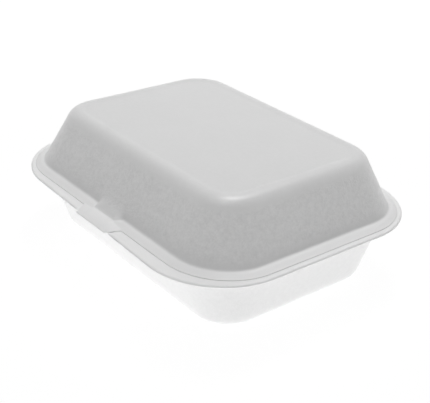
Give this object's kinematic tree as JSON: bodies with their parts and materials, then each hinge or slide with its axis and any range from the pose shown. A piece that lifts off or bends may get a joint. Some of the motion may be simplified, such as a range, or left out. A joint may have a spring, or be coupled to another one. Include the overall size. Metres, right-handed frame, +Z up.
{
  "type": "foam clamshell container",
  "caption": "Hinged takeaway container formed in one piece from white foam sheet, with leaning rounded walls, flat rims and a pressed tongue latch at the front, shown closed.",
  "frame": {"origin": "On the surface that the tray stands on, under the middle of the walls", "axes": "+X along the container to the right as seen from the front, +Y from the latch at the front to the fold at the back, +Z up"},
  "size_m": [0.2036, 0.1668, 0.0759],
  "materials": {
    "white_foam": "matte expanded foam sheet with a faint mottled grain"
  },
  "bodies": {
    "tray": {"tray": "white_foam"},
    "lid": {"lid": "white_foam"}
  },
  "joints": [
    {"name": "lid_hinge", "type": "hinge", "parent": "tray", "child": "lid", "pos_m": [0, 0.08125, 0.04235], "axis": [-1, 0, 0], "range_deg": [0, 180]}
  ]
}
